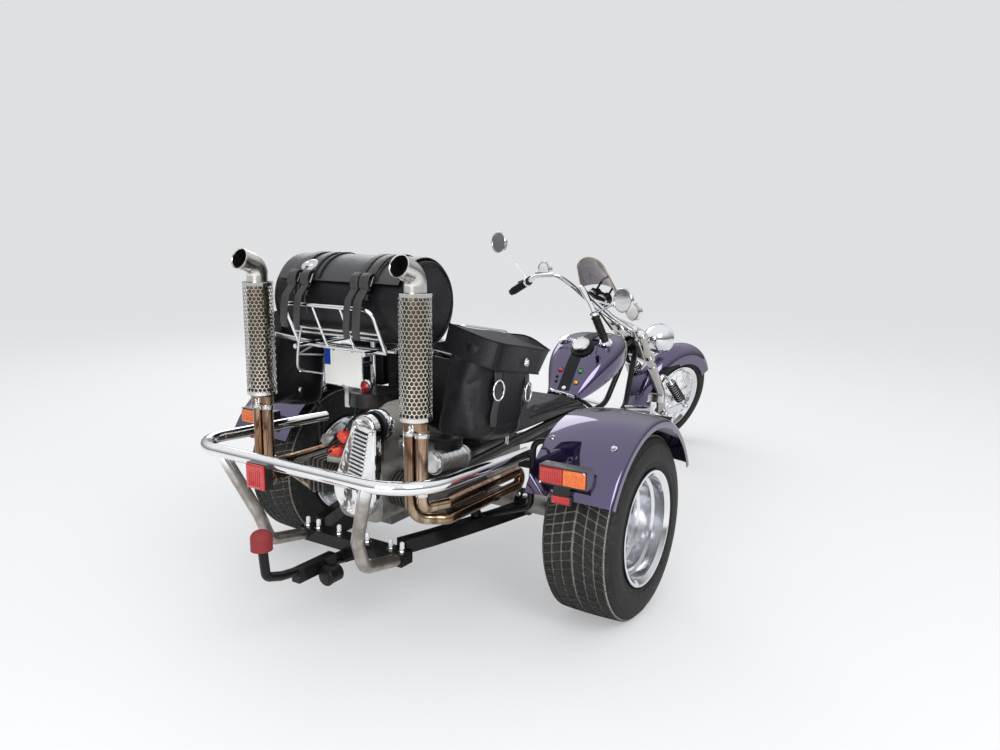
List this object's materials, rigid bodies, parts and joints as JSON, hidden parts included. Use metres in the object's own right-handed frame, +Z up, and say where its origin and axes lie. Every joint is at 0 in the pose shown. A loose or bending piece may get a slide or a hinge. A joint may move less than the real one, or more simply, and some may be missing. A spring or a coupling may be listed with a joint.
{
  "type": "motorized trike",
  "caption": "Three-wheeled motorcycle with an open flat engine behind the rear axle, raked front fork, leather luggage and tow ball.",
  "frame": {"origin": "on the floor under the middle of the whole machine", "axes": "+X forwards, +Y to the rider's left, +Z up"},
  "size_m": [3.6638, 1.744, 1.3505],
  "materials": {
    "frame_paint": "satin black",
    "purple_paint": "glossy dark purple",
    "chrome": "polished",
    "polished_alloy": "polished",
    "cast_alloy": "rough cast",
    "engine_iron": "rough, with black covers",
    "black_steel": "satin",
    "black_plastic": "matte",
    "red_plastic": "glossy",
    "red_rubber": "smooth",
    "lamp_plastic": "glossy",
    "black_leather": "grained",
    "white_plate": "glossy",
    "tinted_glass": "tinted",
    "tyre": "matte"
  },
  "bodies": {
    "chassis": {"frame_rails": "frame_paint", "upper_frame": "frame_paint", "tow_bar": "frame_paint", "ball_cap": "red_rubber", "fender_left": "purple_paint", "fender_right": "purple_paint", "fender_stays": "frame_paint", "bumper": "chrome", "rear_lamps": "lamp_plastic", "transaxle": "cast_alloy", "crankcase": "cast_alloy", "cylinders_left": "engine_iron", "cylinders_right": "engine_iron", "belt_guard": "chrome", "alternator": "black_steel", "distributor": "red_plastic", "intake": "black_steel", "exhaust_left": "chrome", "exhaust_right": "chrome", "heat_shield_left": "chrome", "heat_shield_right": "chrome", "seat": "black_leather", "luggage_rack": "chrome", "roll_bag": "black_leather", "saddlebag_left": "black_leather", "saddlebag_right": "black_leather", "number_plate": "white_plate", "tank": "purple_paint", "tank_fittings": "chrome", "foot_controls": "chrome"},
    "steering": {"fork": "chrome", "fork_links": "chrome", "front_fender": "purple_paint", "front_lamps": "chrome", "handlebar": "chrome", "grips": "black_plastic", "mirrors": "chrome", "instruments": "black_plastic", "windscreen": "tinted_glass"},
    "wheel_front": {"front_tyre": "tyre", "front_wheel": "chrome"},
    "wheel_rear_left": {"rear_tyre_left": "tyre", "rear_wheel_left": "polished_alloy"},
    "wheel_rear_right": {"rear_tyre_right": "tyre", "rear_wheel_right": "polished_alloy"}
  },
  "joints": [
    {"name": "steering_turn", "type": "hinge", "parent": "chassis", "child": "steering", "pos_m": [0.99433, 0, 0.732], "axis": [-0.6691, 0, 0.7431], "range_deg": [-5, 51]},
    {"name": "front_wheel_spin", "type": "hinge", "parent": "steering", "child": "wheel_front", "pos_m": [1.50961, -0.04572, 0.32068], "axis": [0.2904, 0.9205, 0.2614], "continuous": true},
    {"name": "rear_left_wheel_spin", "type": "hinge", "parent": "chassis", "child": "wheel_rear_left", "pos_m": [-0.79158, 0.714, 0.338], "axis": [0, 1, 0], "continuous": true},
    {"name": "rear_right_wheel_spin", "type": "hinge", "parent": "chassis", "child": "wheel_rear_right", "pos_m": [-0.79158, -0.714, 0.338], "axis": [0, 1, 0], "continuous": true}
  ]
}
